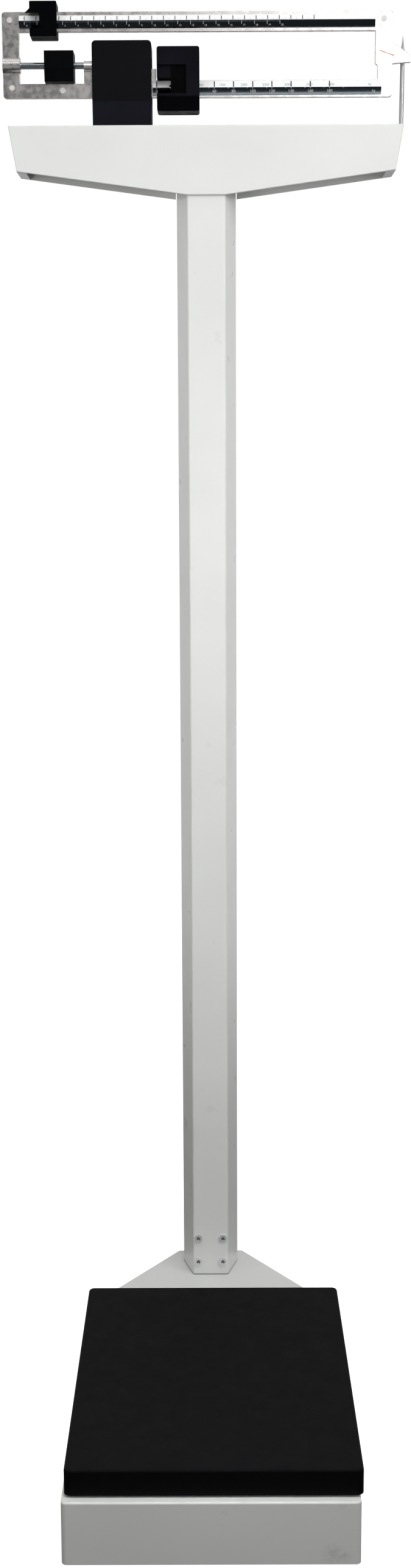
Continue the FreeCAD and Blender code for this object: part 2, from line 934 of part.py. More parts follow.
def transfer_bearings():
    low = d.transfer_level - 6
    outline = vee_block(d.transfer_fulcrum, 7.0, low, d.transfer_level + 3, d.transfer_level, -1, 5.5)
    blocks = [plate("XZ", [outline], y0, y1) for y0, y1 in transfer_cheeks]
    return node("transfer_bearings", group(*blocks))


def transfer_lever():
    """A flat bar: fulcrum near its right end, draft rod next to it, beam link at its left end."""
    level = d.transfer_level
    outline = [
        (link_x - 6, level - 4),
        (link_x + 10, level - 7),
        (d.transfer_fulcrum - 6, level - 8),
        (d.transfer_fulcrum + 8, level - 4),
        (d.transfer_fulcrum + 8, level + 9),
        (d.transfer_fulcrum - 6, level + 10),
        (link_x + 10, level + 9),
        (link_x - 6, level + 7),
    ]
    knives = transfer_knife_outlines()
    return node("transfer_lever", plate("XZ", [outline] + knives, 227.5, 232.5))


def transfer_knife_outlines():
    level = d.transfer_level
    return [
        knife(link_x, level, -1, 5, 2.2),
        knife(as_size(0), level, 1, 5, 2.2),
        knife(d.transfer_fulcrum, level, -1, 6, 3),
    ]


def transfer_knives():
    reaches = ((220.5, 239.5), (220.5, 239.5), (218.0, 242.0))
    blades = [
        plate("XZ", [outline], y0, y1)
        for outline, (y0, y1) in zip(transfer_knife_outlines(), reaches)
    ]
    return node("transfer_knives", group(*blades))


eye_radius = 3.4


def beam_link():
    """Two eyed straps, tied together, that hang from the beam and hold the transfer lever."""
    level = d.transfer_level
    upper_eye = (link_x, d.fulcrum_z + d.bearing_gap - eye_radius, as_size(eye_radius))
    lower_eye = (link_x, level - d.bearing_gap + eye_radius, as_size(eye_radius))
    strap = rectangle(link_x - 4.5, link_x + 4.5, level - 3, d.fulcrum_z + 2.5)
    straps = [plate("XZ", [strap, upper_eye, lower_eye], y0, y1) for y0, y1 in ((222, 225), (235, 238))]
    ties = [block(link_x - 3, link_x + 3, 225, 235, z, z + 5) for z in (1350, 1362)]
    return node("beam_link", fuse(*straps, *ties))


# ---- draft rod ----

clevis_low = 1296.0
rod_bore = d.rod_radius + 0.05


def draft_rod():
    return node("draft_rod", rod("Z", d.rod_radius, 55, clevis_low + 3.5, 0, rod_y))


def rod_lower_stirrup():
    """The loop under the main lever's nose."""
    outer = rectangle(-15, 15, 21.5, 60)
    inner = rectangle(-12, 12, 26.7, 54)
    body = plate("XZ", [outer, inner], rod_y - 5, rod_y + 5)
    add_pocket(body, "XY", [(as_size(0), rod_y, rod_bore)], 53, 61)
    return node("rod_lower_stirrup", body)


def rod_upper_clevis():
    """Two eyed straps on a block that hang from the transfer lever."""
    eye = (as_size(0), d.transfer_level + d.bearing_gap - eye_radius, as_size(eye_radius))
    strap = rectangle(-4.5, 4.5, clevis_low, d.transfer_level + 2.5)
    straps = [plate("XZ", [strap, eye], y0, y1) for y0, y1 in ((222, 225), (235, 238))]
    foot = block(-4.5, 4.5, 225, 235, clevis_low, clevis_low + 5)
    hole = rod("Z", rod_bore, clevis_low - 1, clevis_low + 6, 0, rod_y)
    return node("rod_upper_clevis", cut(fuse(*straps, foot), hole))


def rod_lock_nuts():
    nuts = []
    for low in (60.0, clevis_low - 4):
        hole = rod("Z", rod_bore, low - 1, low + 5, 0, rod_y)
        nuts.append(cut(hexagon(4.6, 0, rod_y, low, low + 4), hole))
    return node("rod_lock_nuts", group(*nuts))


# ---- main lever ----

bar_back = d.main_fulcrum + 7
nose_front = 214.0
arm_width = 8.0
arm_outer = 88.0
arm_inner = 80.0
tie_top = d.lever_top + 0.5


def cross_knife(y, edge, tip, x0, x1):
    """A knife whose edge runs along X."""
    return plate("YZ", [knife(y, edge, tip, d.knife_height, d.knife_half)], x0, x1)


def knife_pair(y, edge, tip, inner, outer):
    """A knife on each side of the scale, from one half-width to another."""
    return [cross_knife(y, edge, tip, *sorted((side * inner, side * outer))) for side in (-1, 1)]


main_fulcrum_knives = knife_pair(d.main_fulcrum, d.knife_level, -1, 82.0, 106.5)
main_load_knives = knife_pair(d.main_load, d.knife_level, 1, 72.0, 106.5)
main_nose_knife = cross_knife(rod_y, d.lever_bottom, -1, -8, 8)


def main_lever_arm(name, side):
    """A straight arm from the cross bar to the nose."""
    points = [
        (side * as_size(arm_inner), bar_back),
        (side * as_size(arm_outer), bar_back),
        (side * as_size(arm_width), as_size(nose_front)),
        (as_size(0), as_size(nose_front)),
    ]
    return node(name, cut(plate("XY", [points], d.lever_bottom, d.lever_top), *main_load_knives))


def main_lever_cross_bar():
    middle = d.main_fulcrum
    bar = block(-arm_outer, arm_outer, middle - 7, middle + 7, d.lever_bottom + 3, d.lever_top + 3)
    return node("main_lever_cross_bar", cut(bar, *main_fulcrum_knives))


def arm_inside(y):
    """X of the arm's inner face at a depth."""
    return arm_inner * (nose_front - as_size(y)) / (nose_front - bar_back)


def main_lever_tie():
    """The cross tie that the short lever's nose bears on."""
    front, back = d.short_nose - 6.5, d.short_nose + 6.5
    outline = mirrored([(arm_inside(front), front), (arm_inside(back), back)])
    return node("main_lever_tie", plate("XY", [outline], d.lever_bottom + 3, tie_top))


def main_lever_nose():
    nose = block(-9, 9, nose_front, rod_y + 10, d.lever_bottom + 3, d.lever_top)
    return node("main_lever_nose", cut(nose, main_nose_knife))


def main_lever_knives():
    return node("main_lever_knives", group(*main_fulcrum_knives, *main_load_knives, main_nose_knife))


# ---- short lever ----

short_low = 45.0
short_side_knives = [
    *knife_pair(d.short_fulcrum, d.knife_level, -1, 82.0, 106.5),
    *knife_pair(d.short_load, d.knife_level, 1, 82.0, 106.5),
]
short_nose_knife = cross_knife(d.short_nose, tie_top + d.bearing_gap, -1, -8, 8)


def short_lever_frame():
    """A T-shaped lever above the main one, with two plates that hold its knives."""
    cross = block(-arm_outer, arm_outer, 53, 67, short_low, 57)
    arm = block(-5, 5, d.short_nose - 7, 53, short_low, 55)
    sides = []
    for side in (-1, 1):
        x0, x1 = sorted((side * arm_inner, side * arm_outer))
        sides.append(block(x0, x1, d.short_load - 7, d.short_fulcrum + 7, 28, short_low))
    return node("short_lever_frame", cut(fuse(cross, arm, *sides), *short_side_knives, short_nose_knife))


def short_lever_knives():
    return node("short_lever_knives", group(*short_side_knives, short_nose_knife))


# ---- platform ----

tray_high = d.platform_high - d.platform_mat
tray_low = tray_high - d.platform_tray
bearing_high = 60.0
leg_places = [(side * d.knife_side, y) for side in (-1, 1) for y in (d.main_load, d.short_load)]


def platform_bearings():
    """Inverted V blocks that rest on the levers' load knives."""
    blocks = []
    for x, y in leg_places:
        outline = vee_block(y, 8.0, as_size(bearing_high), as_size(31.5), d.knife_level, 1, 5.0)
        blocks.append(plate("YZ", [outline], x - 7, x + 7))
    return node("platform_bearings", group(*blocks))


def platform_legs():
    legs = [block(x - 7, x + 7, y - 8, y + 8, bearing_high, tray_low) for x, y in leg_places]
    return node("platform_legs", group(*legs))


def platform_outline(inset):
    half = d.platform_width / 2 - inset
    return rectangle(
        d.platform_shift - half,
        d.platform_shift + half,
        d.platform_front + inset,
        d.platform_back - inset,
    )


def platform_tray():
    """The steel tray under the mat, with ribs below."""
    body = plate("XY", [platform_outline(3.5)], tray_low, tray_high)
    ribs = [rectangle(x - 1.5, x + 1.5, -240, 92) for x in (-55, 55)]
    add_pad(body, "XY", ribs, tray_low - 9, tray_low)
    return node("platform_tray", body)


def platform_cover():
    """The black moulded cover: an open-bottomed cap over the tray."""
    body = plate("XY", [platform_outline(as_size(0))], d.platform_low, d.platform_high)
    add_pocket(body, "XY", [platform_outline(d.platform_wall)], d.platform_low - 1, tray_high)
    half = float(d.platform_width) / 2
    middle = float(d.platform_shift)
    top = float(d.platform_high)
    round_edges(body, 6, lambda a, b: upright(a, b) and abs(abs(a.x - middle) - half) < 0.01)
    round_edges(body, 2.2, lambda a, b: abs(a.z - top) < 0.01 and abs(b.z - top) < 0.01)
    return node("platform_cover", body)


# ---- beam ----

plate_front = d.beam_plane - d.beam_plate / 2
plate_back = d.beam_plane + d.beam_plate / 2
window_left = d.beam_left + d.left_rail
window_right = d.beam_right - d.right_rail
window_top = d.beam_top - d.top_rail
rivet_places = [(-204.6, 1449.8), (-203.4, 1382.4), (-150.2, 1379.6), (186.5, 1449.8), (-104.0, 1379.0)]


def beam_knife_outlines():
    return [
        knife(d.fulcrum_x, d.fulcrum_z, -1, d.knife_height, d.knife_half),
        knife(link_x, d.fulcrum_z, 1, 5, 2.2),
    ]


def beam_frame():
    """The cast beam: a long loop of flat rails with a web for the knives and a tongue at its end."""
    tongue_root_high = d.beam_top - 31.5
    tongue_root_low = d.beam_bottom + 33.0
    outer = [
        (d.beam_left, d.beam_bottom),
        (d.beam_right, d.beam_bottom),
        (d.beam_right, tongue_root_low),
        (d.tongue_tip, tongue_root_low + 1.6),
        (d.tongue_tip, tongue_root_high - 13.0),
        (d.beam_right, tongue_root_high),
        (d.beam_right, d.beam_top),
        (d.beam_left, d.beam_top),
    ]
    crest = d.fulcrum_z + 6.8
    window = [
        (window_left, window_top),
        (window_left, d.beam_bottom + d.bottom_rail_left),
        (d.web_left, d.beam_bottom + d.bottom_rail_left),
        (d.web_left, d.web_top),
        (d.cover_left + 4.2, d.web_top),
        (d.cover_left + 4.2, crest),
        (d.fulcrum_x + 9, crest),
        (d.web_right - 8, d.web_top - 8),
        (d.web_right, d.web_top - 8),
        (d.web_right, d.beam_bottom + d.bottom_rail_right),
        (window_right + 2.6, d.beam_bottom + d.bottom_rail_right),
        (window_right + 2.6, d.beam_bottom + 31.5),
        (window_right, d.beam_bottom + 33.5),
        (window_right, window_top),
    ]
    rivets = [(as_size(x), as_size(z), as_size(1.6)) for x, z in rivet_places]
    body = plate("XZ", [outer, window] + beam_knife_outlines() + rivets, plate_front, plate_back)
    left, right = float(d.beam_left), float(d.beam_right)
    low, high = float(d.beam_bottom), float(d.beam_top)
    round_edges(
        body,
        d.beam_corner,
        lambda a, b: upright(a, b, "y")
        and min(abs(a.x - left), abs(a.x - right)) < 0.01
        and min(abs(a.z - low), abs(a.z - high)) < 0.01,
    )
    knives_left, knives_right = float(link_x - 6.0), float(d.fulcrum_x + 6.0)
    knives_low, knives_high = float(crest - 14.0), float(crest + 3.5)
    front_edge = in_front_of(plate_front)
    round_edges(
        body,
        d.beam_edge,
        lambda a, b: front_edge(a, b)
        and not (knives_left < a.x < knives_right and knives_low < a.z < knives_high),
    )
    boss = (d.beam_plane, d.screw_level, d.boss_radius)
    add_pad(body, "YZ", [boss], d.beam_left + 0.2, window_left + 0.6)
    lug = (d.beam_plane, d.screw_level - 1.4, as_size(5.6))
    add_pad(body, "YZ", [lug], d.web_left, d.web_left + 8.5)
    bore = (d.beam_plane, d.screw_level, d.screw_radius + 0.08)
    add_pocket(body, "YZ", [bore], d.beam_left - 1, window_left + 1)
    end_bore = (d.beam_plane, d.screw_level, as_size(2.18))
    add_pocket(body, "YZ", [end_bore], d.web_left - 1, d.web_left + 7.5)
    return node("beam_frame", body)


def ridge(middle, above, below, depth):
    """A bar's section: a ridge with an upper and a lower facet on the front of the plate."""
    lead = 1.5
    return [
        (plate_front, middle + above + 0.8),
        (plate_front - lead, middle + above),
        (plate_front - depth, middle),
        (plate_front - lead, middle - below),
        (plate_front, middle - below - 0.8),
    ]


def fine_scale_bar():
    section = ridge(d.fine_bar_mid, 5.4, 6.2, d.bar_depth - 0.5)
    bar = plate("YZ", [section], window_left + 0.3, window_right - 0.3)
    return node("fine_scale_bar", bar)


def main_scale_bar():
    """The notched bar of the large poise; its notches are one step of the poise apart."""
    section = ridge(d.main_bar_mid, 7.0, 6.2, d.bar_depth)
    body = plate("YZ", [section], d.main_bar_left, d.main_bar_right)
    ridge_y = plate_front - d.bar_depth
    first = d.main_zero + 14.5
    notch = [(first - 0.7, ridge_y - 0.2), (first + 0.7, ridge_y - 0.2), (first, ridge_y + 0.8)]
    pocket = add_pocket(body, "XY", [notch], d.main_bar_mid - 9, d.main_bar_mid + 9)
    before = body.Shape.Volume
    pattern = body.newObject("PartDesign::LinearPattern", "notches")
    pattern.Originals = [pocket]
    pattern.Direction = (next(f for f in body.Origin.OriginFeatures if f.Role == "X_Axis"), [""])
    bind(pattern, "Length", d.notch_pitch * (d.notch_count - 1))
    pattern.Occurrences = int(float(d.notch_count))
    body.Tip = pattern
    doc.recompute()
    if body.Shape.Volume > before - 1.0:
        raise RuntimeError("the notch pattern cut nothing")
    return node("main_scale_bar", body)


def beam_rivets():
    rivets = []
    for x, z in rivet_places:
        shank = rod("Y", 1.6, plate_front, plate_back, x, z)
        heads = [
            rod("Y", 2.9, plate_front - 0.7, plate_front, x, z),
            rod("Y", 2.9, plate_back, plate_back + 0.7, x, z),
        ]
        rivets.append(fuse(shank, *heads))
    return node("beam_rivets", group(*rivets))


def beam_knives():
    reaches = ((218.7, 241.3), (220.5, 239.5))
    blades = [
        plate("XZ", [outline], y0, y1)
        for outline, (y0, y1) in zip(beam_knife_outlines(), reaches)
    ]
    return node("beam_knives", group(*blades))


def adjusting_screw():
    """The counterweight's screw, slotted at its left end and turned down at its right end."""
    left = d.beam_left + 0.8
    shoulder = d.web_left - 0.4
    body = rod("X", d.screw_radius, left, shoulder, d.beam_plane, d.screw_level)
    end = rod("X", 2.1, shoulder, d.web_left + 6.5, d.beam_plane, d.screw_level)
    slot = block(
        left - 1, left + 1.5, d.beam_plane - 0.5, d.beam_plane + 0.5, d.screw_level - 4, d.screw_level + 4
    )
    return node("adjusting_screw", cut(fuse(body, end), slot))


lock_x = d.weight_left + d.weight_width / 2


def counterweight():
    """A block threaded on the adjusting screw; the foot of its front leans back."""
    crease = d.weight_low + 12.5
    outline = [
        (as_size(216), d.weight_high),
        (as_size(244), d.weight_high),
        (as_size(244), d.weight_low),
        (as_size(219.5), d.weight_low),
        (as_size(216), crease),
    ]
    thread = (d.beam_plane, d.screw_level, d.screw_radius + 0.06)
    right = d.weight_left + d.weight_width
    body = plate("YZ", [outline, thread], d.weight_left, right)
    round_edges(body, d.block_edge, in_front_of(as_size(219.5)))
    add_pocket(body, "XZ", [(lock_x, d.screw_level, as_size(2.05))], 234.0, 245.0)
    return node("counterweight", body)


def counterweight_lock_screw():
    shank = rod("Y", 2.0, 234.5, 244, lock_x, d.screw_level)
    head = rod("Y", 4.2, 244, 247.5, lock_x, d.screw_level)
    slot = block(lock_x - 3.4, lock_x + 3.4, 246.3, 248, d.screw_level - 0.5, d.screw_level + 0.5)
    return node("counterweight_lock_screw", cut(fuse(shank, head), slot))


def fine_poise():
    """A block that slides along the upper rail, notched at the left to show the scale."""
    left = d.fine_poise_left
    right = left + d.fine_poise_width
    outline = rectangle(215, 240, d.fine_poise_low, d.fine_poise_high)
    channel = rectangle(220.8, 232.7, window_top - 0.7, d.beam_top + 0.6)
    body = plate("YZ", [outline, channel], left, right)
    low, high = float(d.fine_poise_low), float(d.fine_poise_high)
    round_edges(
        body,
        1.2,
        lambda a, b: upright(a, b, "y") and (abs(a.z - low) < 0.01 or abs(a.z - high) < 0.01),
    )
    round_edges(body, d.block_edge, in_front_of(as_size(215)))
    notch = rectangle(left - 1, left + 10.3, 1439.2, 1454.8)
    add_pocket(body, "XZ", [notch], 214, 221)
    return node("fine_poise", body)


def fine_poise_pointer():
    left = d.fine_poise_left
    outline = [(left - 4.8, as_size(1454.6)), (left, as_size(1454.6)), (left, as_size(1459.2))]
    return node("fine_poise_pointer", plate("XZ", [outline], 217, 219))


recess_right = d.main_poise_left + 30.6
recess_low = 1373.4
recess_high = 1401.8
window_width = 14.5


def main_poise():
    """The large block on the lower rail: a stepped recess open to the left shows the scale."""
    left = d.main_poise_left
    right = left + d.main_poise_width
    outline = [
        (as_size(211), d.main_poise_high),
        (as_size(242), d.main_poise_high),
        (as_size(242), d.main_poise_low),
        (as_size(216), d.main_poise_low),
        (as_size(211), d.main_poise_low + 14.4),
    ]
    rail_top = d.beam_bottom + d.bottom_rail_right
    channel = rectangle(220.3, 232.7, d.beam_bottom - 0.7, rail_top + 0.8)
    body = plate("YZ", [outline, channel], left, right)
    low, high = float(d.main_poise_low), float(d.main_poise_high)
    round_edges(
        body,
        2.4,
        lambda a, b: upright(a, b, "y") and (abs(a.z - low) < 0.01 or abs(a.z - high) < 0.01),
    )
    round_edges(body, d.block_edge, in_front_of(as_size(216)))
    add_pocket(body, "XZ", [rectangle(left - 1, recess_right, recess_low, recess_high)], 209, 215)
    view = rectangle(left - 1, left + window_width, recess_low, rail_top + 0.8)
    add_pocket(body, "XZ", [view], 213, 221)
    return node("main_poise", body)


def main_poise_index():
    """The plate in the recess whose point reads the scale."""
    left = d.main_poise_left + window_width
    point = d.main_bar_mid
    outline = [
        (left - 2.2, point),
        (left + 0.4, point - 1.6),
        (left + 0.4, as_size(recess_low)),
        (recess_right, as_size(recess_low)),
        (recess_right, as_size(recess_high)),
        (left + 0.4, as_size(recess_high)),
        (left + 0.4, point + 1.6),
    ]
    return node("main_poise_index", plate("XZ", [outline], 213.8, 215))


# ---- build everything ----

base_pan()
base_corner_plates()
base_rails()
levelling_feet()
foot_studs()
lever_stands("front_lever_stands", d.main_fulcrum)
lever_stands("rear_lever_stands", d.short_fulcrum)
column_socket()
column_socket_bolts()
column_profile()
column_back_cover()
column_braces()
column_foot_screws()
column_back_screws()
head_bracket()
head_shell()
head_back_plate()
head_standoffs()
head_back_screws()
beam_stand()
beam_stand_bolts()
fulcrum_bearings()
beam_stop_screws()
pivot_cover()
pivot_cover_clips()
transfer_stand()
transfer_bearings()
balance_post()
main_lever_arm("main_lever_left_arm", -1)
main_lever_arm("main_lever_right_arm", 1)
main_lever_cross_bar()
main_lever_tie()
main_lever_nose()
main_lever_knives()
short_lever_frame()
short_lever_knives()
draft_rod()
rod_lower_stirrup()
rod_upper_clevis()
rod_lock_nuts()
transfer_lever()
transfer_knives()
beam_link()
platform_tray()
platform_legs()
platform_bearings()
platform_cover()
beam_frame()
fine_scale_bar()
main_scale_bar()
beam_rivets()
beam_knives()
adjusting_screw()
counterweight()
counterweight_lock_screw()
fine_poise()
fine_poise_pointer()
main_poise()
main_poise_index()

doc.recompute()
for thing in doc.Objects:
    if "Invalid" in thing.State or "Error" in thing.State:
        raise RuntimeError(f"{thing.Label} ({thing.Name}) failed: {thing.State}")
for thing in nodes:
    if thing.Shape.isNull() or not thing.Shape.isValid() or not thing.Shape.Solids:
        raise RuntimeError(f"{thing.Label} has no valid solid")

os.makedirs("parts", exist_ok=True)
for thing in nodes:
    thing.Shape.exportStep(f"parts/{thing.Label}.step")
print(len(nodes), "sub-parts written")
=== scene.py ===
import math

import bmesh
import bpy
from mathutils import Matrix, Vector


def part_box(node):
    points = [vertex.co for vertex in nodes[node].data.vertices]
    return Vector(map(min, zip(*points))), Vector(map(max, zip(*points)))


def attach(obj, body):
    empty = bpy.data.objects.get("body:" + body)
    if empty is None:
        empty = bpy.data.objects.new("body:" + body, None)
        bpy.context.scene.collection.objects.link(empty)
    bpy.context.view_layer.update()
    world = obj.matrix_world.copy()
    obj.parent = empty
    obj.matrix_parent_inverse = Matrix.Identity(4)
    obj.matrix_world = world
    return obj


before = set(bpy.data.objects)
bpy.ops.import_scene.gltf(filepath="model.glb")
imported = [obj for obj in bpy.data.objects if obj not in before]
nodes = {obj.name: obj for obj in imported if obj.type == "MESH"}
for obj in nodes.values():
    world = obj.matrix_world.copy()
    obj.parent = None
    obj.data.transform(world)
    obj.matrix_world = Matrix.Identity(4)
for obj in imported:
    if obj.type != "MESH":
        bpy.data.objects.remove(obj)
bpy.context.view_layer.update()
scene = bpy.context.scene
MM = 0.001


# ---- camera ----

CAMERA_PLACE = (0.0024, -1.801, 1.0039)
CAMERA_YAW = math.radians(-0.17)
CAMERA_PITCH = math.radians(-10.2)
CAMERA_ROLL = math.radians(-0.26)
CAMERA_LENS = 42.2
CAMERA_SENSOR = 36.0


def make_camera():
    """A camera a little above half height, aimed down by its pitch."""
    level = math.cos(CAMERA_PITCH)
    forward = Vector((math.sin(CAMERA_YAW) * level, math.cos(CAMERA_YAW) * level, math.sin(CAMERA_PITCH)))
    right = Vector((math.cos(CAMERA_YAW), -math.sin(CAMERA_YAW), 0.0))
    up = right.cross(forward)
    right = math.cos(CAMERA_ROLL) * right + math.sin(CAMERA_ROLL) * up
    up = right.cross(forward)
    data = bpy.data.cameras.new("camera")
    data.lens = CAMERA_LENS
    data.sensor_width = CAMERA_SENSOR
    camera = bpy.data.objects.new("camera", data)
    scene.collection.objects.link(camera)
    turn = Matrix((right, up, -forward)).transposed().to_4x4()
    camera.matrix_world = Matrix.Translation(CAMERA_PLACE) @ turn
    scene.camera = camera


# ---- light and stage ----

STAGE_RADIUS = 14.0
FLOOR_COLOR = (0.7, 0.7, 0.7)
FLOOR_GLOW = 0.9
BACKDROP_COLOR = (0.0, 0.0, 0.0)
BACKDROP_GLOW = 1.05
WHITE = (1.0, 1.0, 1.0, 1.0)

# The mix node's colour sockets share their names with others, so they go by number.
MIX_FIRST = 6
MIX_SECOND = 7
MIX_RESULT = 2

# Each pair is the sine of a height above the horizon and the room's brightness there.
FRONT_SKY = (
    (-1.0, 0.02),
    (-0.66, 0.02),
    (-0.5, 0.25),
    (-0.2, 0.22),
    (0.0, 0.1),
    (0.7, 0.1),
    (1.0, 0.25),
)
BACK_SKY = (
    (-1.0, 0.0),
    (-0.33, 0.0),
    (-0.26, 0.9),
    (0.15, 0.8),
    (0.45, 0.1),
    (0.52, 1.0),
    (0.62, 1.0),
    (0.7, 0.2),
)

# How far a direction points along +Y where the back wall begins, and where it has taken over.
BACK_STARTS = 0.3
BACK_FULL = 0.55


def link(new_object):
    scene.collection.objects.link(new_object)
    return new_object


def glowing(name, color, strength):
    """A surface with a white glow of its own, so that it stays near white."""
    material = bpy.data.materials.new(name)
    material.use_nodes = True
    surface = material.node_tree.nodes["Principled BSDF"]
    surface.inputs["Base Color"].default_value = (*color, 1.0)
    surface.inputs["Roughness"].default_value = 0.9
    surface.inputs["Emission Color"].default_value = WHITE
    surface.inputs["Emission Strength"].default_value = strength
    return material


def seen_by_camera_only(stage_object):
    stage_object.visible_diffuse = False
    stage_object.visible_glossy = False
    stage_object.visible_transmission = False


def stage_piece(name, shape, color, glow):
    """Turns a shape into a piece of the set."""
    mesh = bpy.data.meshes.new(name)
    shape.to_mesh(mesh)
    shape.free()
    mesh.materials.append(glowing(name, color, glow))
    return link(bpy.data.objects.new(name, mesh))


def make_stage():
    """A pale floor disc and a dome round it."""
    shape = bmesh.new()
    bmesh.ops.create_circle(shape, cap_ends=True, radius=STAGE_RADIUS, segments=96)
    floor = stage_piece("floor", shape, FLOOR_COLOR, FLOOR_GLOW)

    shape = bmesh.new()
    bmesh.ops.create_uvsphere(shape, u_segments=48, v_segments=24, radius=STAGE_RADIUS)
    dome = stage_piece("backdrop", shape, BACKDROP_COLOR, BACKDROP_GLOW)
    dome.visible_shadow = False

    for stage_object in (floor, dome):
        seen_by_camera_only(stage_object)


def height_ramp(tree, height, levels):
    """Brightness against height; a new ramp already has its first two stops."""
    ramp = tree.nodes.new("ShaderNodeValToRGB")
    stops = ramp.color_ramp.elements
    for index, (sine, level) in enumerate(levels):
        place = (sine + 1.0) / 2.0
        stop = stops[index] if index < 2 else stops.new(place)
        stop.position = place
        stop.color = (level, level, level, 1.0)
    tree.links.new(height, ramp.inputs["Fac"])
    return ramp.outputs["Color"]


def make_sky():
    """The room round the set: a pale wall behind it, and a darker room in front and beside it."""
    world = bpy.data.worlds.new("room")
    world.use_nodes = True
    scene.world = world
    tree = world.node_tree
    direction = tree.nodes.new("ShaderNodeTexCoord")
    parts = tree.nodes.new("ShaderNodeSeparateXYZ")
    tree.links.new(direction.outputs["Generated"], parts.inputs[0])
    height = tree.nodes.new("ShaderNodeMapRange")
    height.inputs["From Min"].default_value = -1.0
    tree.links.new(parts.outputs["Z"], height.inputs["Value"])
    behind = tree.nodes.new("ShaderNodeMapRange")
    behind.inputs["From Min"].default_value = BACK_STARTS
    behind.inputs["From Max"].default_value = BACK_FULL
    tree.links.new(parts.outputs["Y"], behind.inputs["Value"])
    mix = tree.nodes.new("ShaderNodeMix")
    mix.data_type = "RGBA"
    tree.links.new(behind.outputs[0], mix.inputs["Factor"])
    tree.links.new(height_ramp(tree, height.outputs[0], FRONT_SKY), mix.inputs[MIX_FIRST])
    tree.links.new(height_ramp(tree, height.outputs[0], BACK_SKY), mix.inputs[MIX_SECOND])
    tree.links.new(mix.outputs[MIX_RESULT], tree.nodes["Background"].inputs["Color"])


def softbox(name, place, aim, width, height, power, spread=180.0):
    """A rectangular lamp: sizes in metres, power in watts, spread in degrees."""
    data = bpy.data.lights.new(name, "AREA")
    data.shape = "RECTANGLE"
    data.size = width
    data.size_y = height
    data.energy = power
    data.spread = math.radians(spread)
    lamp = link(bpy.data.objects.new(name, data))
    lamp.location = place
    lamp.rotation_euler = (Vector(aim) - Vector(place)).to_track_quat("-Z", "Y").to_euler()


def make_lights():
    """Lamps at both sides, broad ones in front and above, then weak ones for single parts."""
    softbox("key", (1.35, -0.9, 1.45), (0.0, 0.2, 1.0), 0.9, 1.0, 4.3, 95.0)
    softbox("fill", (-1.35, -0.9, 1.3), (0.0, 0.2, 0.98), 0.9, 1.1, 2.4, 95.0)
    softbox("front_top", (0.3, -1.2, 2.6), (0.0, 0.1, 0.8), 1.2, 0.8, 6.3, 120.0)
    softbox("overhead", (0.0, 0.1, 3.1), (0.0, 0.2, 0.0), 2.9, 1.4, 12.5)
    softbox("beam_panel", (0.7, -3.0, 2.0), (0.1, 0.2, 1.4), 1.3, 0.75, 9.6)
    softbox("bounce", (-1.3, -1.4, 0.2), (-0.12, 0.2, 1.3), 0.8, 0.4, 0.48, 40.0)
    softbox("column_light", (0.1, -2.6, 0.8), (0.0, 0.15, 0.6), 0.5, 0.5, 0.3, 28.0)
    softbox("apron_light", (0.0, -0.45, 1.7), (0.0, -0.27, 0.06), 0.3, 0.1, 0.15, 24.0)


# ---- finishes ----

# Heights above a node's lowest point, where its finish changes: a painted shadow along the column's foot,
# painted shade on the main poise's underside, a painted sheen on the pivot cover's lower face, and the
# ridge between a scale bar's painted bright and dark facets.
COLUMN_FOOT_SHADOW_HEIGHT = 1.6 * MM
POISE_FOLD_HEIGHT = 14.4 * MM
COVER_FOLD_HEIGHT = 26.5 * MM
RIDGE_HEIGHT = 7.0 * MM

# Half the width of the change between a bar's facets, and the whole width of the change at a painted shade
# line.
RIDGE_BLEND = 0.1 * MM
SHADE_LINE_BLEND = 1.0 * MM

# The screws at the column's foot.
HEAD_RADIUS = 4.6 * MM
RECESS_RADIUS = 3.2 * MM

ENAMEL = (0.8, 0.81, 0.79)
ENAMEL_ROUGHNESS = 0.3

# The scale bars: the upper facet painted near-white satin, a painted highlight of the light above, and the
# lower one tinted a dark blue chrome, a painted reflection of the dark room below.
PAINTED_LIT_SILVER = (0.92, 0.93, 0.93)
SATIN_METALLIC = 0.1
SATIN_ROUGHNESS = 0.4
PAINTED_SHADED_CHROME = (0.42, 0.5, 0.56)
DARK_METALLIC = 1.0
DARK_ROUGHNESS = 0.1

# Smudges at the front of the base: centre, radius and how far they cover the enamel.
SMUDGES = (
    (Vector((0.112, -0.27, 0.012)), 0.012, 0.35),
    (Vector((0.123, -0.27, 0.009)), 0.006, 0.4),
)


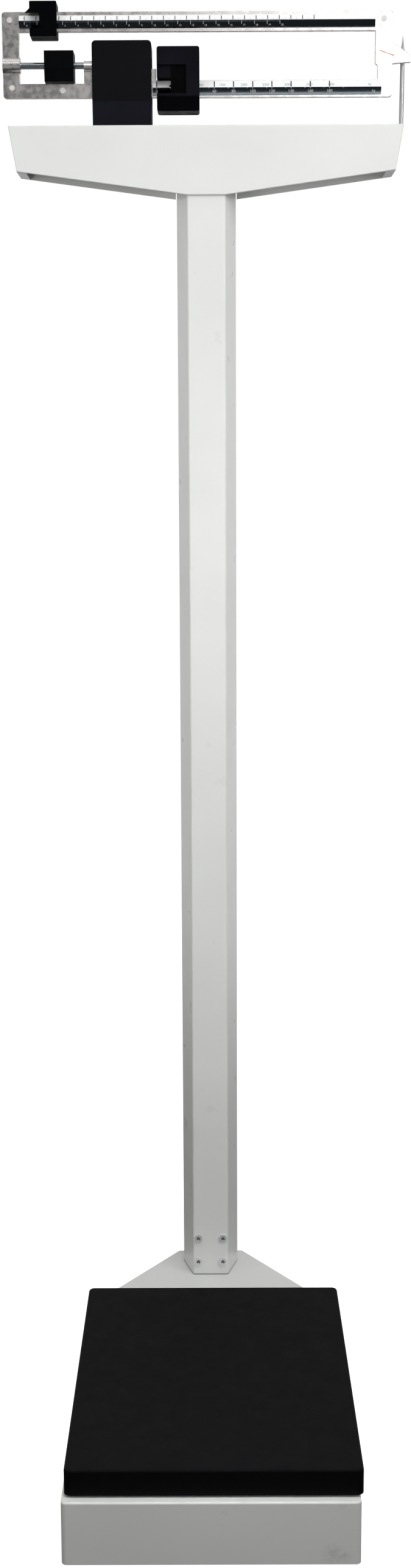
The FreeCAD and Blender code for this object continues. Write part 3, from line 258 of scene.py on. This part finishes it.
class Finish:
    """A principled surface, with short calls for the textures that vary it."""

    def __init__(self, name, color, metallic, roughness, **sockets):
        self.material = bpy.data.materials.new(name)
        self.material.use_nodes = True
        self.tree = self.material.node_tree
        self.surface = self.tree.nodes["Principled BSDF"]
        self.surface.inputs["Base Color"].default_value = (*color, 1.0)
        self.surface.inputs["Metallic"].default_value = metallic
        self.surface.inputs["Roughness"].default_value = roughness
        for socket, value in sockets.items():
            self.surface.inputs[socket.replace("_", " ")].default_value = value
        self.place = self.tree.nodes.new("ShaderNodeTexCoord").outputs["Object"]
        self.normal = None

    def drawn_out(self, share):
        """The object's own coordinates, with X cut to a share, so that textures run along it."""
        node = self.tree.nodes.new("ShaderNodeMapping")
        self.tree.links.new(self.place, node.inputs["Vector"])
        node.inputs["Scale"].default_value = (share, 1.0, 1.0)
        return node.outputs["Vector"]

    def noise(self, scale, detail=2.0, rough=0.5, where=None):
        node = self.tree.nodes.new("ShaderNodeTexNoise")
        self.tree.links.new(where or self.place, node.inputs["Vector"])
        node.inputs["Scale"].default_value = scale
        node.inputs["Detail"].default_value = detail
        node.inputs["Roughness"].default_value = rough
        return node.outputs["Fac"]

    def cells(self, scale):
        node = self.tree.nodes.new("ShaderNodeTexVoronoi")
        self.tree.links.new(self.place, node.inputs["Vector"])
        node.inputs["Scale"].default_value = scale
        return node.outputs["Distance"]

    def height(self):
        """Height above the floor."""
        node = self.tree.nodes.new("ShaderNodeSeparateXYZ")
        self.tree.links.new(self.place, node.inputs[0])
        return node.outputs["Z"]

    def link_to(self, socket, output):
        """Drives one of the surface's sockets."""
        self.tree.links.new(output, self.surface.inputs[socket])

    def near(self, point, radius):
        """1 at a point of the frame, falling to 0 at a radius."""
        node = self.tree.nodes.new("ShaderNodeVectorMath")
        node.operation = "DISTANCE"
        self.tree.links.new(self.place, node.inputs[0])
        node.inputs[1].default_value = point
        return self.span(node.outputs["Value"], radius, 0.0, 0.0, 1.0)

    def span(self, value, low, high, to_low, to_high):
        """A range of values, spread over another range and held at its ends."""
        node = self.tree.nodes.new("ShaderNodeMapRange")
        self.tree.links.new(value, node.inputs["Value"])
        node.inputs["From Min"].default_value = low
        node.inputs["From Max"].default_value = high
        node.inputs["To Min"].default_value = to_low
        node.inputs["To Max"].default_value = to_high
        return node.outputs[0]

    def times(self, first, second):
        node = self.tree.nodes.new("ShaderNodeMath")
        node.operation = "MULTIPLY"
        self.tree.links.new(first, node.inputs[0])
        self.tree.links.new(second, node.inputs[1])
        return node.outputs[0]

    def tint(self, share, first, second):
        """A colour between two; either may be a colour or another colour's output."""
        node = self.tree.nodes.new("ShaderNodeMix")
        node.data_type = "RGBA"
        self.tree.links.new(share, node.inputs["Factor"])
        for socket, value in ((node.inputs[MIX_FIRST], first), (node.inputs[MIX_SECOND], second)):
            if isinstance(value, tuple):
                socket.default_value = (*value, 1.0)
            else:
                self.tree.links.new(value, socket)
        return node.outputs[MIX_RESULT]

    def color(self, output):
        self.link_to("Base Color", output)

    def roughness(self, texture, low, high):
        self.link_to("Roughness", self.span(texture, 0.3, 0.7, low, high))

    def relief(self, height, strength, depth):
        """Bumps of a depth in metres, on top of any relief already there."""
        node = self.tree.nodes.new("ShaderNodeBump")
        node.inputs["Strength"].default_value = strength
        node.inputs["Distance"].default_value = depth
        self.tree.links.new(height, node.inputs["Height"])
        if self.normal:
            self.tree.links.new(self.normal, node.inputs["Normal"])
        self.normal = node.outputs["Normal"]
        self.link_to("Normal", self.normal)


def scaled(color, share):
    return tuple(channel * share for channel in color)


def fold_shade(finish, base, color, shade_line, below):
    """Under the height of a shade line the coat's colour is scaled by a share: under 1 it is a painted
    shade, over 1 a painted sheen; a line at 0 changes nothing.
    """
    under = finish.span(finish.height(), shade_line - SHADE_LINE_BLEND, shade_line, 1.0, 0.0)
    return finish.tint(under, base, scaled(color, below))


def powder_coat(name, color, roughness, shade_line=0.0, below=1.0):
    """Baked enamel on sheet metal: orange peel, fine dust in the coat and faint smudges, and painted shade
    under a shade line when one is given.
    """
    finish = Finish(name, color, 0.0, roughness, Specular_IOR_Level=0.45)
    clouds = finish.span(finish.noise(9.0, 3.0), 0.35, 0.65, 0.0, 1.0)
    base = finish.tint(clouds, scaled(color, 0.975), scaled(color, 1.01))
    dust = finish.span(finish.noise(1400.0, 1.0), 0.62, 0.8, 0.0, 0.2)
    base = finish.tint(dust, base, scaled(color, 0.8))
    for centre, radius, cover in SMUDGES:
        patches = finish.span(finish.noise(260.0, 3.0), 0.4, 0.6, 0.1, cover)
        smudge = finish.times(finish.near(centre, radius), patches)
        base = finish.tint(smudge, base, scaled(color, 0.35))
    finish.color(fold_shade(finish, base, color, shade_line, below))
    finish.roughness(finish.noise(40.0, 4.0), roughness - 0.03, roughness + 0.05)
    finish.relief(finish.noise(330.0, 2.0), 0.1, 0.0001)
    return finish.material


def rubber(name, color, roughness):
    """Moulded rubber with a pebbled skin and a trace of chalky wear."""
    finish = Finish(name, color, 0.0, roughness, Specular_IOR_Level=0.08)
    worn = finish.span(finish.noise(14.0, 5.0, 0.6), 0.45, 0.7, 0.0, 0.25)
    finish.color(finish.tint(worn, color, scaled(color, 1.5)))
    finish.roughness(finish.noise(60.0, 4.0), roughness - 0.03, roughness + 0.04)
    finish.relief(finish.cells(900.0), 0.3, 0.0001)
    finish.relief(finish.noise(2600.0, 2.0), 0.25, 0.00003)
    return finish.material


def black_paint(name, color, roughness, shade_line=0.0, below=1.0):
    """Satin black enamel over a casting, with pin-fine texture, and painted shade under a shade line when
    one is given.
    """
    finish = Finish(name, color, 0.0, roughness, Specular_IOR_Level=0.025)
    clouds = finish.span(finish.noise(35.0, 4.0), 0.4, 0.65, 0.0, 1.0)
    coat = finish.tint(clouds, color, scaled(color, 1.4))
    finish.color(fold_shade(finish, coat, color, shade_line, below))
    finish.roughness(finish.noise(120.0, 3.0), roughness - 0.06, roughness + 0.1)
    finish.relief(finish.noise(700.0, 3.0), 0.3, 0.00006)
    return finish.material


def moulded_plastic(name, color, roughness, shade_line=0.0, below=1.0):
    """Injection-moulded cover: a spark-eroded grain with glossier and duller patches and, under a shade
    line when one is given, a colour scaled up as a painted sheen or down as a painted shade.
    """
    finish = Finish(name, color, 0.0, roughness, Specular_IOR_Level=0.08)
    skin = finish.tint(finish.noise(22.0, 3.0), color, scaled(color, 1.3))
    finish.color(fold_shade(finish, skin, color, shade_line, below))
    finish.roughness(finish.noise(30.0, 3.0), roughness - 0.08, roughness + 0.08)
    finish.relief(finish.cells(1600.0), 0.3, 0.00005)
    return finish.material


def cast_metal(name, color, roughness):
    """Tumbled casting: cloudy grey, pitted, with rougher and smoother patches."""
    finish = Finish(name, color, 1.0, roughness)
    clouds = finish.span(finish.noise(85.0, 6.0, 0.65), 0.35, 0.68, 0.0, 1.0)
    base = finish.tint(clouds, scaled(color, 0.87), color)
    pits = finish.span(finish.noise(900.0, 2.0), 0.6, 0.75, 0.0, 0.25)
    finish.color(finish.tint(pits, base, scaled(color, 0.45)))
    finish.roughness(finish.noise(150.0, 4.0), roughness - 0.05, roughness + 0.08)
    finish.relief(finish.noise(380.0, 4.0), 0.1, 0.00006)
    return finish.material


def drawn_metal(name, color, roughness, grain_length, grain_depth):
    """Polished or drawn metal, with hair lines that run along X."""
    finish = Finish(name, color, 1.0, roughness)
    lines = finish.noise(900.0, 2.0, where=finish.drawn_out(1.0 / grain_length))
    finish.color(finish.tint(finish.noise(30.0, 3.0), scaled(color, 0.93), color))
    finish.roughness(lines, roughness * 0.7, roughness * 1.4)
    finish.relief(lines, grain_depth, 0.00002)
    return finish.material


def scale_metal(name, bar):
    """A chromed bar: its upper facet painted a near-white satin silver, a painted highlight standing for
    the light above, and the lower one tinted dark blue chrome, a painted reflection of the dark room
    below.
    """
    finish = Finish(name, PAINTED_LIT_SILVER, SATIN_METALLIC, SATIN_ROUGHNESS)
    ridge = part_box(bar)[0].z + RIDGE_HEIGHT
    face = finish.span(finish.height(), ridge - RIDGE_BLEND, ridge + RIDGE_BLEND, 0.0, 1.0)
    grain = finish.noise(900.0, 2.0, where=finish.drawn_out(0.03))
    painted_lit_facet = finish.tint(grain, scaled(PAINTED_LIT_SILVER, 0.94), PAINTED_LIT_SILVER)
    # The upper facet is painted near-white and the lower tinted dark: a painted highlight and a painted
    # reflection.
    finish.color(finish.tint(face, PAINTED_SHADED_CHROME, painted_lit_facet))
    finish.link_to("Metallic", finish.span(face, 0.0, 1.0, DARK_METALLIC, SATIN_METALLIC))
    finish.link_to("Roughness", finish.span(face, 0.0, 1.0, DARK_ROUGHNESS, SATIN_ROUGHNESS))
    finish.relief(grain, 0.1, 0.00002)
    return finish.material


def ground_metal(name, color, roughness, stain):
    """Steel or zinc with a fine all-over grain and darker stains."""
    finish = Finish(name, color, 1.0, roughness)
    stains = finish.span(finish.noise(60.0, 5.0, 0.6), 0.45, 0.7, 0.0, stain)
    finish.color(finish.tint(stains, color, scaled(color, 0.5)))
    finish.roughness(finish.noise(300.0, 3.0), roughness - 0.08, roughness + 0.12)
    finish.relief(finish.noise(1200.0, 2.0), 0.25, 0.00004)
    return finish.material


def recessed_heads(name, color, roughness, centres, recess):
    """Bright screw heads, each with a painted dark spot at its driver recess: painted shade for the
    recess.
    """
    finish = Finish(name, color, 1.0, roughness)
    base = finish.tint(finish.noise(700.0, 2.0), scaled(color, 0.9), color)
    for centre in centres:
        # A dark spot at each recess: painted shade.
        painted_recess_shade = finish.span(finish.near(centre, recess), 0.2, 0.6, 0.0, 1.0)
        base = finish.tint(painted_recess_shade, base, scaled(color, 0.06))
    finish.color(base)
    finish.roughness(finish.noise(500.0, 2.0), roughness - 0.05, roughness + 0.05)
    finish.relief(finish.noise(1800.0, 2.0), 0.15, 0.00003)
    return finish.material


def ink(name, color):
    """Printed or etched colour, slightly uneven."""
    finish = Finish(name, color, 0.0, 0.6, Specular_IOR_Level=0.0)
    finish.color(finish.tint(finish.noise(1800.0, 2.0), scaled(color, 0.85), scaled(color, 1.1)))
    finish.roughness(finish.noise(900.0, 1.0), 0.45, 0.6)
    finish.relief(finish.noise(2500.0, 1.0), 0.2, 0.00001)
    return finish.material


def make_finishes():
    """One material for each slot of the record."""
    return {
        "white_enamel": powder_coat("enamel_white", ENAMEL, ENAMEL_ROUGHNESS),
        "black_rubber": rubber("rubber_black", (0.0012, 0.0012, 0.002), 0.62),
        "foot_rubber": rubber("rubber_feet", (0.02, 0.02, 0.02), 0.7),
        "black_enamel": black_paint("enamel_black", (0.0016, 0.0018, 0.0022), 0.42),
        "black_cover": moulded_plastic("plastic_black", (0.0022, 0.0023, 0.0034), 0.48),
        "cast_aluminium": cast_metal("metal_cast", (0.7, 0.675, 0.665), 0.26),
        "polished_chrome": drawn_metal("chrome", (0.86, 0.88, 0.9), 0.1, 30.0, 0.1),
        "zinc_fastener": ground_metal("zinc", (0.68, 0.68, 0.69), 0.3, 0.3),
        "lever_steel": ground_metal("steel_plain", (0.42, 0.42, 0.43), 0.42, 0.6),
        "hard_steel": ground_metal("steel_ground", (0.55, 0.55, 0.57), 0.25, 0.3),
        "plain_steel": ground_metal("steel_sheet", (0.46, 0.47, 0.48), 0.4, 0.5),
    }


def make_own_finishes():
    """Finishes for single nodes whose surface differs from the rest of their slot; several of them carry
    painted shade, a painted sheen or painted highlights.
    """
    # The top of the painted shadow along the column's foot.
    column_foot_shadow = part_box("column_profile")[0].z + COLUMN_FOOT_SHADOW_HEIGHT
    low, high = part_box("column_foot_screws")
    foot_heads = [
        Vector((x, low.y, z))
        for x in (low.x + HEAD_RADIUS, high.x - HEAD_RADIUS)
        for z in (low.z + HEAD_RADIUS, high.z - HEAD_RADIUS)
    ]
    poise_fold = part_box("main_poise")[0].z + POISE_FOLD_HEIGHT
    cover_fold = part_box("pivot_cover")[0].z + COVER_FOLD_HEIGHT
    return {
        # The main poise is painted down to 0.3 of its colour under its crease: painted shade on its
        # underside.
        "main_poise": black_paint(
            "enamel_main_poise", (0.0048, 0.005, 0.0075), 0.42, shade_line=poise_fold, below=0.3
        ),
        # The column's enamel is painted down to a fifth along its bottom 1.6 mm: a painted shadow where it
        # meets the base.
        "column_profile": powder_coat(
            "enamel_column_foot_shadow", ENAMEL, ENAMEL_ROUGHNESS, shade_line=column_foot_shadow, below=0.2
        ),
        # Dark spots painted at the four screw recesses: painted shade.
        "column_foot_screws": recessed_heads(
            "screw_zinc", (0.95, 0.95, 0.97), 0.5, foot_heads, RECESS_RADIUS
        ),
        # The pivot cover is painted 3.4 times lighter under its crease: a painted sheen for its lower
        # face's reflection of the pale head.
        "pivot_cover": moulded_plastic(
            "plastic_cover", (0.0018, 0.0019, 0.003), 0.48, shade_line=cover_fold, below=3.4
        ),
        # The index plate at the floor of the main poise's recess is painted darker: a painted shade for
        # the recess.
        "main_poise_index": black_paint("enamel_index_recess_shade", (0.001, 0.001, 0.0013), 0.5),
        "fine_poise": black_paint("enamel_fine_poise", (0.0006, 0.0008, 0.0012), 0.45),
        "balance_post": ground_metal("post_steel", (0.5, 0.5, 0.51), 0.45, 0.3),
        "fine_scale_bar": scale_metal("fine_bar_metal", "fine_scale_bar"),
        "main_scale_bar": scale_metal("main_bar_metal", "main_scale_bar"),
        "adjusting_screw": drawn_metal("screw_steel", (0.3, 0.33, 0.35), 0.22, 8.0, 0.1),
        "beam_rivets": ground_metal("rivet_metal", (0.74, 0.72, 0.7), 0.6, 0.2),
    }


def paint_nodes(finishes, own_finishes):
    """Each node keeps its shape and takes the finish of its slot, or one of its own."""
    for name, node in nodes.items():
        for holder in node.material_slots:
            slot = holder.material.name.split(".")[0]
            holder.material = own_finishes.get(name, finishes[slot])


# ---- markings on the scale bars ----

INK_DEPTH = 0.03 * MM
INK_LIFT = 0.01 * MM
FACET_LEAD = 1.5 * MM
FACET_STEP = 0.8 * MM
FIGURE_SHARE = 0.7
WELD_DISTANCE = 1e-7
BOLD_LINE = 0.8 * MM
HAIR_LINE = 0.09 * MM

# The balance line, measured back and down from the beam frame's top right corner.
PLATE_HALF = 2.0 * MM
LINE_INNER = (32.8 * MM, 39.8 * MM)
LINE_OUTER = (17.6 * MM, 45.0 * MM)
LINE_WIDTH = 0.7 * MM


class Facet:
    """The upper or lower sloping face of a scale bar; across runs from 0 at its lower edge to 1."""

    def __init__(self, bar, upper):
        low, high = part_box(bar)
        ridge = Vector((0.0, low.y, low.z + RIDGE_HEIGHT))
        if upper:
            edge = Vector((0.0, high.y - FACET_LEAD, high.z - FACET_STEP))
            self.low, self.high = ridge, edge
        else:
            edge = Vector((0.0, high.y - FACET_LEAD, low.z + FACET_STEP))
            self.low, self.high = edge, ridge
        self.up = (self.high - self.low).normalized()
        self.out = Vector((1.0, 0.0, 0.0)).cross(self.up)
        self.width = (self.high - self.low).length

    def turn(self, x, across):
        """A matrix that puts flat work, drawn in X and Y, on the facet."""
        place = self.low + self.up * (self.width * across) + self.out * INK_LIFT
        place.x = x
        turn = Matrix((Vector((1.0, 0.0, 0.0)), self.up, self.out)).transposed().to_4x4()
        return Matrix.Translation(place) @ turn


def add_stroke(shape, turn, width, length):
    """A thin raised bar of ink, centred on X and running up from 0."""
    bottom = [(-width / 2, 0), (width / 2, 0), (width / 2, length), (-width / 2, length)]
    rings = [
        [shape.verts.new(turn @ Vector((x, y, z))) for x, y in bottom]
        for z in (0.0, INK_DEPTH)
    ]
    shape.faces.new(reversed(rings[0]))
    shape.faces.new(rings[1])
    for near in range(4):
        far = (near + 1) % 4
        shape.faces.new((rings[0][near], rings[0][far], rings[1][far], rings[1][near]))


def add_numeral(shape, turn, text, height):
    """Figures in outline type, centred on X and standing on 0."""
    curve = bpy.data.curves.new("numeral", "FONT")
    curve.body = text
    curve.size = height / FIGURE_SHARE
    curve.extrude = INK_DEPTH / 2
    curve.align_x = "CENTER"
    curve.resolution_u = 3
    holder = link(bpy.data.objects.new("numeral", curve))
    mesh = bpy.data.meshes.new_from_object(holder)
    mesh.transform(turn @ Matrix.Translation((0.0, 0.0, INK_DEPTH / 2)))
    shape.from_mesh(mesh)
    bpy.data.meshes.remove(mesh)
    bpy.data.objects.remove(holder)
    bpy.data.curves.remove(curve)


def marks_piece(name, shape, material):
    """Turns marks into a piece that rides on the beam."""
    mesh = bpy.data.meshes.new(name)
    bmesh.ops.remove_doubles(shape, verts=shape.verts, dist=WELD_DISTANCE)
    shape.to_mesh(mesh)
    shape.free()
    mesh.materials.append(material)
    piece = link(bpy.data.objects.new(name, mesh))
    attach(piece, "beam")


def graduate(shape, facet, zero, pitch, count, base, length, width):
    """A row of strokes from the zero on, each standing on a share of the facet's width."""
    for step in range(count + 1):
        add_stroke(shape, facet.turn(zero + step * pitch, base), width, length * facet.width)


def number(shape, facet, zero, pitch, values, base, height):
    """Figures at their steps from the zero; each value comes with its step."""
    for step, value in values:
        add_numeral(shape, facet.turn(zero + step * pitch, base), str(value), height)


def make_fine_scale(dark, light):
    """Pounds by the quarter on the upper facet, kilograms by the tenth on the lower."""
    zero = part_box("fine_scale_bar")[0].x + 5.6 * MM
    pound = 6.04 * MM
    kilo = 13.32 * MM
    upper = Facet("fine_scale_bar", True)
    lower = Facet("fine_scale_bar", False)

    shape = bmesh.new()
    graduate(shape, upper, zero, 2 * pound, 25, base=0.06, length=0.85, width=BOLD_LINE)
    graduate(shape, upper, zero, pound, 50, base=0.06, length=0.4, width=0.16 * MM)
    graduate(shape, upper, zero, pound / 4, 200, base=0.06, length=0.2, width=HAIR_LINE)
    marks_piece("fine_scale_pound_marks", shape, dark)

    shape = bmesh.new()
    graduate(shape, lower, zero, kilo, 20, base=0.4, length=0.5, width=0.45 * MM)
    graduate(shape, lower, zero, kilo / 10, 200, base=0.72, length=0.2, width=HAIR_LINE)
    kilos = [(n, n) for n in range(21)]
    number(shape, lower, zero + 2.6 * MM, kilo, kilos, base=0.14, height=1.9 * MM)
    marks_piece("fine_scale_kilo_marks", shape, light)


def make_main_scale(dark, light, faint):
    """Notch marks and fifties of pounds on the upper facet, twenties of kilograms on the lower."""
    low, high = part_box("main_scale_bar")
    zero = low.x + 4.3 * MM
    step = 20.1 * MM
    fifty_pounds = 22.8 * MM
    upper = Facet("main_scale_bar", True)
    lower = Facet("main_scale_bar", False)

    shape = bmesh.new()
    graduate(shape, upper, zero, step, 9, base=0.04, length=0.92, width=1.1 * MM)
    marks_piece("main_scale_marks", shape, dark)

    shape = bmesh.new()
    pounds = [(n, 50 * n) for n in range(1, 9)]
    number(shape, upper, zero, fifty_pounds, pounds, base=0.2, height=3.2 * MM)
    add_numeral(shape, upper.turn(high.x - 12.0 * MM, 0.2), "lb", 3.0 * MM)
    marks_piece("main_scale_pound_numbers", shape, faint)

    shape = bmesh.new()
    kilos = [(n, 20 * n) for n in range(10)]
    number(shape, lower, zero, step, kilos, base=0.25, height=3.0 * MM)
    graduate(shape, lower, zero, step, 9, base=0.8, length=0.16, width=0.5 * MM)
    add_numeral(shape, lower.turn(high.x - 8.0 * MM, 0.25), "kg", 2.8 * MM)
    marks_piece("main_scale_kilo_numbers", shape, light)


def make_balance_line(color):
    """The line on the beam's right end that is read against the balance post."""
    low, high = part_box("beam_frame")
    front = (low.y + high.y) / 2 - PLATE_HALF - INK_LIFT
    start = Vector((high.x - LINE_INNER[0], front, high.z - LINE_INNER[1]))
    end = Vector((high.x - LINE_OUTER[0], front, high.z - LINE_OUTER[1]))
    up = (end - start).normalized()
    out = Vector((0.0, -1.0, 0.0))
    turn = Matrix((up.cross(out), up, out)).transposed().to_4x4()
    shape = bmesh.new()
    add_stroke(shape, Matrix.Translation(start) @ turn, LINE_WIDTH, (end - start).length)
    marks_piece("balance_line", shape, color)


def make_markings():
    dark = ink("ink_dark", (0.03, 0.045, 0.06))
    light = ink("ink_light", (0.6, 0.62, 0.62))
    faint = ink("ink_faint", (0.25, 0.29, 0.34))
    red = ink("ink_red", (0.6, 0.16, 0.12))
    make_fine_scale(dark, light)
    make_main_scale(dark, light, faint)
    make_balance_line(red)


# ---- put together ----

scene.view_settings.view_transform = "Standard"
make_camera()
make_stage()
make_sky()
make_lights()
paint_nodes(make_finishes(), make_own_finishes())
make_markings()
